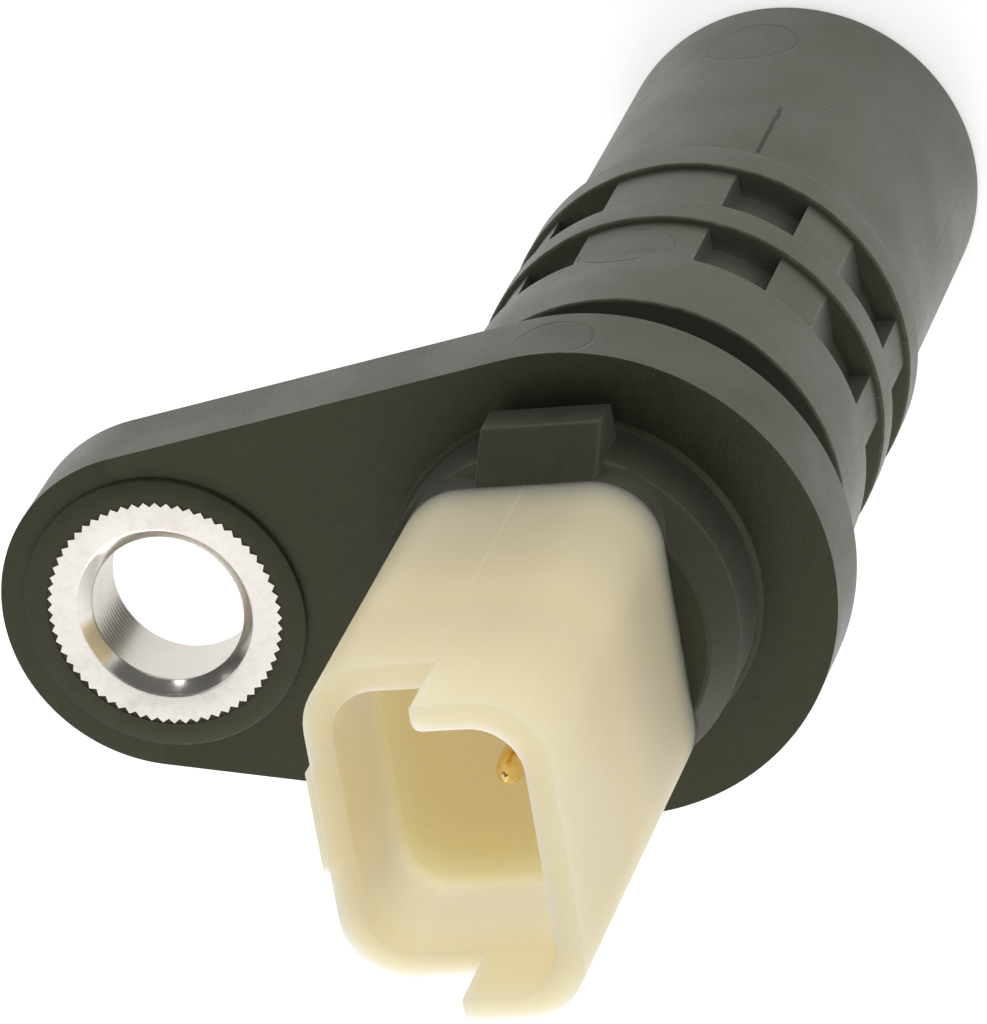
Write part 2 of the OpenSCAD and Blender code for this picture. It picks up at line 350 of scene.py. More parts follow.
@dataclass(frozen=True)
class BlackNylon(Finish):
    """Glass filled nylon with a fine moulded grain, pin marks, light rubbing, and painted light and shade on
    the barrel and in its pockets.
    """

    dark: Colour = (0.011, 0.0115, 0.006, 1.0)
    light: Colour = (0.020, 0.020, 0.012, 1.0)
    pale: Colour = (0.085, 0.082, 0.069, 1.0)
    mark: Colour = (0.012, 0.012, 0.011, 1.0)
    gloss: Colour = (1.0, 1.0, 0.68, 1.0)
    bloom: Colour = (1.0, 0.99, 0.95, 1.0)
    roughness: float = 0.44
    smoothest: float = 0.28
    roughest: float = 0.9
    grain: float = 0.010
    upper_y: Point = (6.5, 7.5)
    pins: Tuple[PinWitness, ...] = (
        PinWitness(-0.05, 5.25, 2.25, 0.022),
        PinWitness(-0.35, 32.3, 2.3, 0.03),
        PinWitness(-0.1, 47.4, 1.85, 0.025, 10.5),
    )
    pin_line: float = 0.11
    pin_dish: float = 0.01
    scratch_x: float = 2.95
    scratch_from: float = 12.9
    scratch_to: float = 19.3
    scratch_w: float = 0.16
    scratch_depth: float = 0.055
    split_z: float = 11.25
    split_depth: float = 0.012
    seam_top: float = 44.0
    seam_proud: float = 0.02
    line_w: float = 0.07
    recess_r: Point = (8.5, 8.9)
    recess_top: Point = (36.5, 37.0)
    aside_x: Point = (4.0, 6.5)
    # Painted light and shade: the next three weights paint the barrel below the flange paler as a stand-in
    # for its grazing sheen, paint the pocket floors paler, and paint the pockets on the +X side darker
    probe_painted_sheen: float = 0.34
    pocket_painted_light: float = 0.4
    aside_painted_shade: float = 0.6
    aside_rough: float = 0.35
    worn_pale: float = 0.55

    def marks(self, sheet: NodeSheet, at: Wire) -> Wire:
        """Draws the pin marks, the scratch, the mould's split line and its seam.

        Args:
            sheet: Sheet to draw on.
            at: Place on the piece in millimetres.

        Returns:
            Depth of the marks in millimetres.
        """
        x, y, z = sheet.axes(at)
        upper = sheet.fade(y, *self.upper_y)
        patchy = sheet.fade(sheet.noise(at, 0.5), 0.35, 0.6)
        depth = 0.0
        for pin in self.pins:
            away = sheet.distance(at, (pin.x, 0.0, pin.z), IN_XZ)
            ring = sheet.near(away - pin.radius, self.pin_line)
            dish = 1.0 - sheet.fade(away, pin.radius - 0.05, pin.radius)
            outer = sheet.fade(y, pin.from_y, pin.from_y + 0.5)
            depth = depth + outer * (ring * patchy * pin.depth + dish * self.pin_dish)
        wander = (sheet.noise(at, 0.6) - 0.5) * 0.3
        length = sheet.fade(z, self.scratch_from, self.scratch_from + 0.7)
        length = length * (1.0 - sheet.fade(z, self.scratch_to - 0.5, self.scratch_to))
        scratch = length * sheet.near(x - self.scratch_x - wander, self.scratch_w)
        depth = depth + upper * scratch * self.scratch_depth
        split = patchy * sheet.near(z - self.split_z, self.line_w)
        depth = depth + upper * split * self.split_depth
        seam = sheet.near(y, self.line_w) * (1.0 - sheet.fade(z, self.seam_top - 0.5, self.seam_top))
        return depth - seam * self.seam_proud

    def shade(self, sheet: NodeSheet) -> Feeds:
        """Works out the shader of the black nylon.

        Args:
            sheet: Sheet to work on.

        Returns:
            What feeds each socket of the shader.
        """
        at = sheet.place()
        fine = sheet.noise(at, 8.0, 3.0)
        pores = sheet.fade(sheet.noise(at, 4.5, 1.0), 0.62, 0.72)
        cloud = sheet.noise(at, 0.22, 4.0)
        flow = sheet.noise(sheet.stretch(at, (1.6, 1.6, 0.25)), 1.1, 3.0)
        worn = sheet.attribute("rubbed") * sheet.fade(sheet.noise(at, 1.6, 3.0), 0.38, 0.62)
        depth = self.marks(sheet, at)
        radius = sheet.distance(at, (0.0, 0.0, 0.0), IN_XY)
        x, _, z = sheet.axes(at)
        colour = sheet.tint(sheet.fade(cloud * 0.6 + flow * 0.4, 0.36, 0.66), self.dark, self.light)
        # Painted light: the floors of the pockets are painted paler, standing in for the light that reaches
        # them
        recess = (1.0 - sheet.fade(radius, *self.recess_r)) * (1.0 - sheet.fade(z, *self.recess_top))
        # Painted sheen: the probe below the flange is painted paler, standing in for the bright grazing
        # reflection along its sides
        probe = 1.0 - sheet.fade(z, self.seam_top - 0.5, self.seam_top + 0.5)
        # Painted shade: the pockets on the +X side are painted darker, as if the lands shade them; they are
        # also made rougher
        aside = recess * sheet.fade(x, *self.aside_x)
        grain_and_painted_light = fine * 0.15 + probe * self.probe_painted_sheen + recess * self.pocket_painted_light - aside * self.aside_painted_shade
        colour = sheet.tint(grain_and_painted_light, colour, self.pale)
        colour = sheet.tint(worn * self.worn_pale, colour, self.pale)
        colour = sheet.tint((depth * 12.0).at_least(0.0).at_most(0.7), colour, self.mark)
        rough = self.roughness + (cloud - 0.5) * 0.34 + (fine - 0.5) * 0.26 - worn * 0.08
        rough = rough + (depth - 0.02).at_least(0.0) * 7.0 + aside * self.aside_rough
        height = fine * self.grain + cloud * 0.03 - pores * 0.003 - depth
        return {
            "Base Color": colour,
            "Roughness": rough.at_least(self.smoothest).at_most(self.roughest),
            "Specular IOR Level": 0.5,
            "Specular Tint": self.gloss,
            "Sheen Weight": 0.12,
            "Sheen Roughness": 0.45,
            "Sheen Tint": self.bloom,
            "Normal": sheet.relief(height),
        }


@dataclass(frozen=True)
class IvoryNylon(Finish):
    """Unfilled natural nylon: satin and a little translucent, with a painted glow that makes it warmer inside
    the socket, painted shade near the collar and a paler painted tint on its thick lower part.
    """

    pale: Colour = (0.90, 0.685, 0.38, 1.0)
    warm: Colour = (0.89, 0.672, 0.366, 1.0)
    # Colour of the paler painted tint on the thick part below the socket's floor
    block: Colour = (0.875, 0.735, 0.435, 1.0)
    # Colour of the painted glow inside the socket
    deep: Colour = (0.99, 0.84, 0.56, 1.0)
    # Colour of the painted shade near the collar
    foot: Colour = (0.43, 0.41, 0.30, 1.0)
    streak: Colour = (0.91, 0.765, 0.49, 1.0)
    rubbed: Colour = (0.92, 0.79, 0.53, 1.0)
    speck: Colour = (0.45, 0.38, 0.25, 1.0)
    scatter: Place = (1.0, 0.98, 0.95)
    scatter_mm: float = 8.0
    roughness: float = 0.42
    axis_x: float = -0.55
    room_w: float = 9.5
    room_h: float = 12.4
    floor_z: float = 66.05
    rim_z: float = 72.6
    line_x: float = -0.45
    line_w: float = 0.09
    wall_edge: float = 0.12
    outside_y: Point = (7.2, 7.35)
    # Heights over which the painted shade near the collar fades out
    foot_z: Point = (54.0, 57.0)
    wall_z: Point = (58.0, 70.0)
    steep_shade_share: float = 0.42

    def shade(self, sheet: NodeSheet) -> Feeds:
        """Works out the shader of the ivory nylon.

        Args:
            sheet: Sheet to work on.

        Returns:
            What feeds each socket of the shader.
        """
        at = sheet.place()
        x, y, z = sheet.axes(at)
        cloud = sheet.noise(at, 0.16, 3.0)
        drawn = sheet.noise(sheet.stretch(at, (3.0, 3.0, 0.12)), 1.5, 3.0)
        fine = sheet.noise(at, 7.0, 2.0)
        specks = sheet.fade(sheet.noise(at, 3.2, 0.0), 0.76, 0.8)
        half_w, half_h = self.room_w / 2, self.room_h / 2
        inside = 1.0 - sheet.fade(abs(x - self.axis_x), half_w, half_w + self.wall_edge)
        inside = inside * (1.0 - sheet.fade(abs(y), half_h, half_h + self.wall_edge))
        inside = inside * (1.0 - sheet.fade(z, self.rim_z - 2.5, self.rim_z))
        low = 1.0 - sheet.fade(z, self.floor_z - 0.5, self.rim_z)
        outside = sheet.fade(abs(y), *self.outside_y)
        line = sheet.near(x - self.line_x, self.line_w) * outside
        worn = sheet.attribute("rubbed")
        colour = sheet.tint(sheet.fade(cloud, 0.3, 0.7), self.pale, self.warm)
        colour = sheet.tint(sheet.fade(drawn, 0.45, 0.75) * 0.3, colour, self.streak)
        # Painted light: the thick part below the socket's floor is painted paler, to offset the deeper colour
        # that light scattering through thick plastic gives it
        solid = 1.0 - sheet.fade(z, self.floor_z - 2.0, self.floor_z + 2.0)
        colour = sheet.tint(solid * 0.9, colour, self.block)
        # Painted shade: the plastic is painted towards dark grey near the collar, falling off steeply at
        # first and then slowly up the wall, standing in for the shade of the black collar and ramp
        painted_collar_shade = 1.0 - sheet.fade(z, *self.foot_z) * self.steep_shade_share
        painted_collar_shade = painted_collar_shade - sheet.fade(z, *self.wall_z) * (1.0 - self.steep_shade_share)
        colour = sheet.tint(painted_collar_shade, colour, self.foot)
        # Painted light: the inside of the socket is painted brighter and warmer, more so towards its floor,
        # standing in for light that glows through the thin walls and bounces inside
        colour = sheet.tint(inside * (low * 0.45 + 0.5), colour, self.deep)
        colour = sheet.tint((worn * 0.1 + line * 0.2).at_most(1.0), colour, self.rubbed)
        colour = sheet.tint(specks * 0.06, colour, self.speck)
        rough = self.roughness + (drawn - 0.5) * 0.14 + (cloud - 0.5) * 0.12
        height = fine * 0.003 + drawn * 0.009 + cloud * 0.02 + line * 0.008
        return {
            "Base Color": colour,
            "Roughness": rough,
            "Specular IOR Level": 0.5,
            "Subsurface Weight": 1.0,
            "Subsurface Radius": self.scatter,
            "Subsurface Scale": self.scatter_mm * MM,
            "Normal": sheet.relief(height),
        }


@dataclass(frozen=True)
class TurnedAluminium(Finish):
    """Aluminium with the fine rings that a lathe leaves round one axis, and painted shade inside its bore."""

    bright: Colour = (0.93, 0.89, 0.83, 1.0)
    dull: Colour = (0.76, 0.71, 0.64, 1.0)
    # Colour of the painted shade inside the bore
    bored: Colour = (0.60, 0.565, 0.51, 1.0)
    axis: Place = (-19.8, 0.0, 0.0)
    roughness: float = 0.32
    polish: float = 0.16
    bore_r: float = 3.6
    chamfer_r: float = 4.1
    face_pitch: float = 0.11
    bore_pitch: float = 0.3

    def shade(self, sheet: NodeSheet) -> Feeds:
        """Works out the shader of the turned metal.

        Args:
            sheet: Sheet to work on.

        Returns:
            What feeds each socket of the shader.
        """
        at = sheet.place()
        _, _, z = sheet.axes(at)
        away = sheet.distance(at, self.axis, IN_XY)
        drift = sheet.noise(at, 0.9, 3.0)
        fine = sheet.noise(at, 6.0, 3.0)
        face = (away * (math.tau / self.face_pitch) + drift * 3.0).sine()
        bore = (z * (math.tau / self.bore_pitch) + drift * 4.0).sine()
        stain = sheet.fade(sheet.noise(at, 0.55, 4.0), 0.5, 0.75)
        bored = 1.0 - sheet.fade(away, self.bore_r - 0.03, self.bore_r + 0.01)
        cut = (1.0 - sheet.fade(away, self.chamfer_r - 0.05, self.chamfer_r + 0.05)) * (1.0 - bored)
        mottle = sheet.fade(sheet.noise(at, 2.4, 2.0), 0.45, 0.7)
        colour = sheet.tint(stain * 0.5 + mottle * 0.3, self.bright, self.dull)
        # Painted shade: the bore is painted darker, standing in for the dark reflections inside it
        colour = sheet.tint(bored * 0.9, colour, self.bored)
        rough = self.roughness - cut * self.polish + (fine - 0.5) * 0.1 + stain * 0.06
        turning = (1.0 - cut) * (face * 0.0012 + fine * 0.004)
        height = (1.0 - bored) * turning + bored * (bore * 0.003 + fine * 0.002)
        return {
            "Base Color": colour,
            "Metallic": 1.0,
            "Roughness": rough,
            "Normal": sheet.relief(height),
        }


@dataclass(frozen=True)
class PlainMetal(Finish):
    """Metal with fine streaks along the probe axis and a little staining."""

    bright: Colour
    dull: Colour
    roughness: float
    streaks: float = 0.003

    def shade(self, sheet: NodeSheet) -> Feeds:
        """Works out the shader of the metal.

        Args:
            sheet: Sheet to work on.

        Returns:
            What feeds each socket of the shader.
        """
        at = sheet.place()
        streak = sheet.noise(sheet.stretch(at, (9.0, 9.0, 0.6)), 1.0, 3.0)
        stain = sheet.noise(at, 1.3, 3.0)
        return {
            "Base Color": sheet.tint(sheet.fade(stain, 0.4, 0.75), self.bright, self.dull),
            "Metallic": 1.0,
            "Roughness": self.roughness + (stain - 0.5) * 0.2 + (streak - 0.5) * 0.1,
            "Normal": sheet.relief(streak * self.streaks),
        }


@dataclass(frozen=True)
class EnamelledWire(Finish):
    """Layers of thin enamelled copper wire, wound round the probe axis."""

    copper: Colour = (0.55, 0.2, 0.07, 1.0)
    shadow: Colour = (0.16, 0.045, 0.015, 1.0)
    pitch: float = 0.16

    def shade(self, sheet: NodeSheet) -> Feeds:
        """Works out the shader of the winding.

        Args:
            sheet: Sheet to work on.

        Returns:
            What feeds each socket of the shader.
        """
        at = sheet.place()
        _, _, z = sheet.axes(at)
        drift = sheet.noise(at, 0.8, 2.0)
        turn = (z * (math.tau / self.pitch) + drift * 2.0).sine() * 0.5 + 0.5
        return {
            "Base Color": sheet.tint(turn, self.shadow, self.copper),
            "Metallic": 0.8,
            "Roughness": 0.28 + drift * 0.2,
            "Normal": sheet.relief(turn * 0.04),
        }


@dataclass(frozen=True)
class BobbinPlastic(Finish):
    """Plain moulded plastic of the coil's spool."""

    base: Colour = (0.7, 0.65, 0.52, 1.0)
    shade_of_base: Colour = (0.6, 0.54, 0.41, 1.0)

    def shade(self, sheet: NodeSheet) -> Feeds:
        """Works out the shader of the spool.

        Args:
            sheet: Sheet to work on.

        Returns:
            What feeds each socket of the shader.
        """
        at = sheet.place()
        cloud = sheet.noise(at, 0.5, 3.0)
        fine = sheet.noise(at, 7.0, 2.0)
        return {
            "Base Color": sheet.tint(cloud, self.base, self.shade_of_base),
            "Roughness": 0.45 + (fine - 0.5) * 0.2,
            "Normal": sheet.relief(fine * 0.006),
        }


class Bench:
    """A mesh being worked, in millimetres."""

    def __init__(self) -> None:
        """Starts an empty mesh that remembers which faces are rubbed edges."""
        self.mesh = bmesh.new()
        self.rubbed = self.mesh.faces.layers.float.new("rubbed")

    def chain(self, places: Iterable[Place]) -> Tuple[List[BMVert], List[BMEdge]]:
        """Links new points in a row.

        Args:
            places: Place of each point in order.

        Returns:
            The points, and the edges between them.
        """
        points = [self.mesh.verts.new(place) for place in places]
        return points, [self.mesh.edges.new(pair) for pair in zip(points, points[1:])]

    def turn(self, profile: Sequence[Point], axis: Point = (0.0, 0.0), closed: bool = False) -> None:
        """Turns a profile round an upright axis.

        Args:
            profile: Radius and height of each corner in order.
            axis: Place of the axis.
            closed: Whether the last corner joins the first.
        """
        mesh = self.mesh
        corners, edges = self.chain((axis[0] + r, axis[1], z) for r, z in profile)
        if closed:
            edges.append(mesh.edges.new((corners[-1], corners[0])))
        bmesh.ops.spin(
            mesh,
            geom=corners + edges,
            cent=(axis[0], axis[1], 0.0),
            axis=UP,
            angle=math.tau,
            steps=TURN_STEPS,
            use_merge=True,
        )
        bmesh.ops.remove_doubles(mesh, verts=self.island(corners[0]), dist=CLOSE)

    def island(self, start: BMVert) -> List[BMVert]:
        """Finds every point that edges link to one point.

        Args:
            start: The point to start from.

        Returns:
            The points in the order in which they are reached.
        """
        found = {start: None}
        waiting = [start]
        while waiting:
            here = waiting.pop()
            for edge in here.link_edges:
                after = edge.other_vert(here)
                if after not in found:
                    found[after] = None
                    waiting.append(after)
        return list(found)

    def arc(
        self, centre: Point, radius: float, start: float, sweep: float, z: float, steps: int
    ) -> List[BMVert]:
        """Sweeps a point round a centre.

        Args:
            centre: Centre of the arc.
            radius: Its radius.
            start: Angle of its first point in degrees.
            sweep: Angle that it covers in degrees.
            z: Its height.
            steps: Number of straight steps.

        Returns:
            The points of the arc in order.
        """
        mesh = self.mesh
        turn = math.radians(start)
        x, y = centre[0] + radius * math.cos(turn), centre[1] + radius * math.sin(turn)
        first = mesh.verts.new((x, y, z))
        bmesh.ops.spin(
            mesh,
            geom=[first],
            cent=(centre[0], centre[1], z),
            axis=UP,
            angle=math.radians(sweep),
            steps=steps,
        )
        return self.island(first)

    def ring(self, runs: Sequence[Sequence[BMVert]]) -> List[BMEdge]:
        """Joins runs of points, each already linked, into one closed outline.

        Args:
            runs: The runs in order.

        Returns:
            Every edge of the outline.
        """
        for here, after in zip(runs, [*runs[1:], runs[0]]):
            self.mesh.edges.new((here[-1], after[0]))
        return edges_of(v for run in runs for v in run)

    def rounded_ring(self, centre: Point, size: Point, radius: float, z: float) -> List[BMEdge]:
        """Outlines a rectangle with round corners.

        Args:
            centre: Middle of the rectangle.
            size: Its width and height.
            radius: Radius of its corners.
            z: Height that it lies at.

        Returns:
            Every edge of the outline.
        """
        dx, dy = size[0] / 2 - radius, size[1] / 2 - radius
        runs = [
            self.arc((centre[0] + sx * dx, centre[1] + sy * dy), radius, start, 90.0, z, ARC_STEPS)
            for sx, sy, start in ((1, 1, 0.0), (-1, 1, 90.0), (-1, -1, 180.0), (1, -1, 270.0))
        ]
        return self.ring(runs)

    def fill(self, edges: Sequence[BMEdge]) -> List[BMFace]:
        """Fills a flat outline, leaving any inner outline open.

        Args:
            edges: Edges of the outlines.

        Returns:
            The new faces.
        """
        made = bmesh.ops.triangle_fill(self.mesh, use_beauty=True, edges=list(edges))
        return [g for g in made["geom"] if isinstance(g, BMFace)]

    def raise_faces(self, faces: Sequence[BMFace], by: Place, keep: bool) -> List[BMFace]:
        """Pulls faces out of the surface.

        Args:
            faces: Faces to pull.
            by: How far they go.
            keep: Whether the faces also stay behind as the far side.

        Returns:
            The faces at their new place.
        """
        made = bmesh.ops.extrude_face_region(self.mesh, geom=list(faces), use_keep_orig=True)["geom"]
        moved = [g for g in made if isinstance(g, BMVert)]
        bmesh.ops.translate(self.mesh, verts=moved, vec=by)
        if not keep:
            bmesh.ops.delete(self.mesh, geom=list(faces), context="FACES")
        return [g for g in made if isinstance(g, BMFace)]

    def prism(self, edges: Sequence[BMEdge], by: Place) -> None:
        """Fills a flat outline and pulls it out into a solid."""
        self.raise_faces(self.fill(edges), by, keep=True)

    def block(self, low: Place, high: Place) -> List[BMEdge]:
        """Makes a rectangular block between two corners.

        Args:
            low: Lowest corner.
            high: Highest corner.

        Returns:
            Its twelve edges.
        """
        size = Vector(high) - Vector(low)
        stand = Matrix.Translation((Vector(high) + Vector(low)) / 2) @ Matrix.Diagonal((*size, 1.0))
        corners = bmesh.ops.create_cube(self.mesh, size=1.0, matrix=stand)["verts"]
        return edges_of(corners)

    def edges(self, wanted: Callable[[BMEdge], bool]) -> List[BMEdge]:
        """Every edge that a test picks."""
        return [e for e in self.mesh.edges if wanted(e)]

    def hoops(self, corners: Iterable[Point], axis: Point = (0.0, 0.0)) -> List[BMEdge]:
        """Finds the round edges of a turned form.

        Args:
            corners: Radius and height of each round edge.
            axis: Place of the turning axis.

        Returns:
            The edges that lie on them.
        """
        wanted = list(corners)

        def on_hoop(edge: BMEdge) -> bool:
            """Whether both ends of an edge lie on one of the hoops."""
            ends = [(math.hypot(v.co.x - axis[0], v.co.y - axis[1]), v.co.z) for v in edge.verts]
            return any(all(math.dist(end, corner) < 10 * CLOSE for end in ends) for corner in wanted)

        return self.edges(on_hoop)

    def ease(self, edges: Sequence[BMEdge], radius: float, segments: int = 3, rub: bool = True) -> None:
        """Rounds edges and notes the new faces as rubbed.

        Args:
            edges: Edges to round.
            radius: How far the rounding reaches from the edge.
            segments: Number of steps across it.
            rub: Whether the rounding is worn paler.
        """
        made = bmesh.ops.bevel(
            self.mesh,
            geom=list(edges),
            offset=radius,
            offset_type="OFFSET",
            segments=segments,
            profile=0.5,
            affect="EDGES",
            clamp_overlap=True,
            material=-1,
        )
        if rub:
            for face in made["faces"]:
                face[self.rubbed] = 1.0

    def finish(self, name: str, finish: Finish, materials: Materials) -> Object:
        """Turns the work into a finished piece on the sensor.

        Args:
            name: Name of the piece.
            finish: Finish that it takes.
            materials: Materials by their slot.

        Returns:
            The new object.
        """
        mesh = self.mesh
        bmesh.ops.recalc_face_normals(mesh, faces=mesh.faces)
        bmesh.ops.scale(mesh, verts=mesh.verts, vec=(MM, MM, MM))
        for face in mesh.faces:
            face.smooth = True
        for edge in mesh.edges:
            edge.smooth = len(edge.link_faces) == 2 and edge.calc_face_angle(0.0) < SHARP_ANGLE
        piece = put_mesh(name, mesh, materials[finish.slot])
        weights = piece.modifiers.new("even_normals", "WEIGHTED_NORMAL")
        weights.keep_sharp = True
        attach(piece, BODY)
        LOG.info("%s: %d faces in %s", name, len(piece.data.polygons), finish.slot)
        return piece


@dataclass
class Moulding:
    """The black overmoulding: probe, ribbed barrel, flange, collar and latch ramp."""

    finish: Finish
    tip_r: float = 9.0
    tip_len: float = 20.65
    tip_edge: float = 0.8
    land_r: float = 9.45
    ring_r: float = 9.75
    floor_r: float = 8.4
    neck_r: float = 7.9
    far_row_z: float = 22.8
    near_ring_z: float = 27.15
    near_row_z: float = 29.3
    shoulder_z: float = 33.65
    neck_z: float = 39.1
    neck_in: float = 1.0
    pocket_len: float = 4.35
    mid_land_w: float = 5.8
    side_land: Point = (6.05, 7.9)
    seam_land_w: float = 2.3
    land_root: float = 0.6
    side_root: float = 0.45
    seat_z: float = 44.6
    flange_z: float = 49.05
    flange_r: float = 11.4
    ear_r: float = 7.75
    ear_reach: float = 19.8
    rim_round: float = 0.35
    bush_r: float = 5.5
    bush_gap: float = 0.04
    hole_steps: int = 128
    knurl_r: float = 5.15
    knurl_drop: float = 0.05
    boss_r: float = 6.6
    boss_h: float = 0.25
    boss_in: float = 0.5
    connector_x: float = -0.55
    collar_r: float = 8.3
    slope_z: float = 52.55
    slope_w: float = 1.1
    collar_z: float = 54.3
    collar_in: float = 0.6
    fillet: float = 0.35
    fillet_in: Point = (0.2, 0.02)
    fillet_bow: Point = (0.1, 0.45)
    pad: Point = (11.9, 14.8)
    pad_r: float = 3.0
    ramp_w: float = 5.6
    ramp_reach: float = 9.2
    ramp_back: float = 49.9
    ramp_land: float = 2.0

    def turned(self, bench: Bench) -> None:
        """Turns the probe with its rings, grooves and neck.

        Args:
            bench: Bench to work on.
        """
        inside = self.seat_z + self.neck_in
        starts = (self.tip_len, self.near_ring_z, self.shoulder_z)
        ends = (self.far_row_z, self.near_row_z, self.neck_z)
        before = (self.tip_r, self.floor_r, self.floor_r)
        behind = (self.floor_r, self.floor_r, self.neck_r)
        rings, roots = [], []
        profile = [(0.0, 0.0), (self.tip_r, 0.0)]
        for start, end, low_r, high_r in zip(starts, ends, before, behind):
            ring, root = [(self.ring_r, start), (self.ring_r, end)], [(low_r, start), (high_r, end)]
            profile += [root[0], *ring, root[1]]
            rings += ring
            roots += root
        bench.turn([*profile, (self.neck_r, inside), (0.0, inside)])
        bench.ease(bench.hoops([(self.tip_r, 0.0)]), self.tip_edge, 6, rub=False)
        bench.ease(bench.hoops(rings), Edge.EASED.value)
        bench.ease(bench.hoops(roots), Edge.EASED.value, 2, rub=False)

    def land(self, bench: Bench, start: float, end: float, sides: Sequence[Point], z: float) -> None:
        """Sets one land between two pockets.

        Args:
            bench: Bench to work on.
            start: Angle in degrees at which its face begins.
            end: Angle in degrees at which its face ends.
            sides: Corners of its root, from the end back to the start.
            z: Lower end of the row.
        """
        steps = max(4, round((end - start) / LAND_STEP))
        face = bench.arc((0.0, 0.0), self.land_r, start, end - start, z, steps)
        root, _ = bench.chain((x, y, z) for x, y in sides)
        corners = [face[0].co.xy.copy(), face[-1].co.xy.copy()]
        bench.prism(bench.ring([face, root]), (0.0, 0.0, self.pocket_len))

        def upright(edge: BMEdge) -> bool:
            """Whether an edge runs up one of the land's two outer corners.

            Args:
                edge: The edge.

            Returns:
                True where it does.
            """
            low, high = sorted(edge.verts, key=lambda v: v.co.z)
            at_row = abs(low.co.z - z) < CLOSE and abs(high.co.z - z - self.pocket_len) < CLOSE
            return at_row and any((low.co.xy - corner).length < CLOSE for corner in corners)

        bench.ease(bench.edges(upright), Edge.CRISP.value, 2)

    def row(self, bench: Bench, z: float) -> None:
        """Sets the eight lands of one row of pockets.

        Args:
            bench: Bench to work on.
            z: Lower end of the row.
        """
        root_r = self.floor_r - self.land_root

        def angle(x: float) -> float:
            """Angle in degrees at which a wall at x meets the lands' face."""
            return math.degrees(math.acos(x / self.land_r))

        half = self.mid_land_w / 2
        inner, outer = self.side_land
        for turn in (1, -1):
            depth = math.sqrt(root_r**2 - half**2) * turn
            span = sorted((angle(half) * turn, angle(-half) * turn))
            self.land(bench, *span, [(-half * turn, depth), (half * turn, depth)], z)
            for side in (1, -1):
                near_y = math.sqrt(root_r**2 - inner**2) * turn
                far_y = near_y * self.side_root
                span = [(angle(outer), outer, far_y), (angle(inner), inner, near_y)]
                span = [(180.0 - a if side < 0 else a, x * side, y) for a, x, y in span]
                span = sorted((a * turn, x, y) for a, x, y in span)
                self.land(bench, span[0][0], span[1][0], [span[1][1:], span[0][1:]], z)
        rise = self.seam_land_w / 2
        tilt = math.degrees(math.asin(rise / self.land_r))
        deep = math.sqrt(root_r**2 - rise**2)
        self.land(bench, -tilt, tilt, [(deep, rise), (deep, -rise)], z)
        self.land(bench, 180.0 - tilt, 180.0 + tilt, [(-deep, -rise), (-deep, rise)], z)

    def flange(self, bench: Bench) -> None:
        """Cuts the teardrop flange, with the opening for the bush.

        Args:
            bench: Bench to work on.
        """
        lean = math.degrees(math.asin((self.flange_r - self.ear_r) / self.ear_reach))
        ear = (-self.ear_reach, 0.0)
        low, half = self.seat_z, TURN_STEPS // 2
        big = bench.arc((0.0, 0.0), self.flange_r, -90.0 - lean, 180.0 + 2 * lean, low, half)
        small = bench.arc(ear, self.ear_r, 90.0 + lean, 180.0 - 2 * lean, low, half)
        rim = bench.ring([big, small])
        sweep = 360.0 - 360.0 / self.hole_steps
        hole = bench.arc(ear, self.bush_r, 1.0, sweep, low, self.hole_steps - 1)
        bench.prism(rim + bench.ring([hole]), (0.0, 0.0, self.flange_z - low))
        slack = 0.1

        def on_rim(edge: BMEdge, z: float) -> bool:
            """Whether an edge lies on the flange's outer rim at a height.

            Args:
                edge: The edge.
                z: The height.

            Returns:
                True where it does.
            """
            if len(edge.link_faces) != 2 or edge.calc_face_angle(0.0) < SHARP_ANGLE:
                return False
            if any(abs(v.co.z - z) > CLOSE for v in edge.verts):
                return False
            return all(
                v.co.xy.length > self.flange_r - slack and (v.co.xy - Vector(ear)).length > self.ear_r - slack
                for v in edge.verts
            )

        for z in (self.flange_z, self.seat_z):
            bench.ease(bench.edges(lambda e: on_rim(e, z)), self.rim_round, 4)
        self.boss(bench, ear)

    def boss(self, bench: Bench, ear: Point) -> None:
        """Sets the shallow boss round the bush, with the plastic that grips its knurl.

        Args:
            bench: Bench to work on.
            ear: Place of the bush's axis.
        """
        low, top = self.flange_z - self.boss_in, self.flange_z + self.boss_h
        edge, grip = self.bush_r + self.bush_gap, top - self.knurl_drop
        inner = [(self.knurl_r, low), (self.knurl_r, grip), (edge, grip), (edge, top)]
        bench.turn([*inner, (self.boss_r, top), (self.boss_r, low)], ear, closed=True)
        bench.ease(bench.hoops([(self.boss_r, top)], ear), Edge.CRISP.value, 2, rub=False)

    def collar(self, bench: Bench) -> None:
        """Builds the stepped collar, the pad under the socket and the latch ramp.

        Args:
            bench: Bench to work on.
        """
        axis = (self.connector_x, 0.0)
        low = self.flange_z - self.collar_in
        foot = (self.collar_r, self.slope_z)
        brow = (self.collar_r - self.slope_w, self.collar_z)
        bench.turn([(0.0, low), (self.collar_r, low), foot, brow, (0.0, self.collar_z)], axis)
        bench.ease(bench.hoops([foot, brow], axis), Edge.EASED.value, rub=False)
        inner, under = self.collar_r - self.fillet_in[0], self.flange_z - self.fillet_in[1]
        near, far = (bow * self.fillet for bow in self.fillet_bow)
        bench.turn(
            [
                (inner, self.flange_z + self.fillet),
                (self.collar_r + near, self.flange_z + far),
                (self.collar_r + far, self.flange_z + near),
                (self.collar_r + self.fillet, under),
                (inner, under),
            ],
            axis,
            closed=True,
        )
        pad = bench.rounded_ring(axis, self.pad, self.pad_r, low)
        bench.prism(pad, (0.0, 0.0, self.collar_z - low))
        self.ramp(bench)

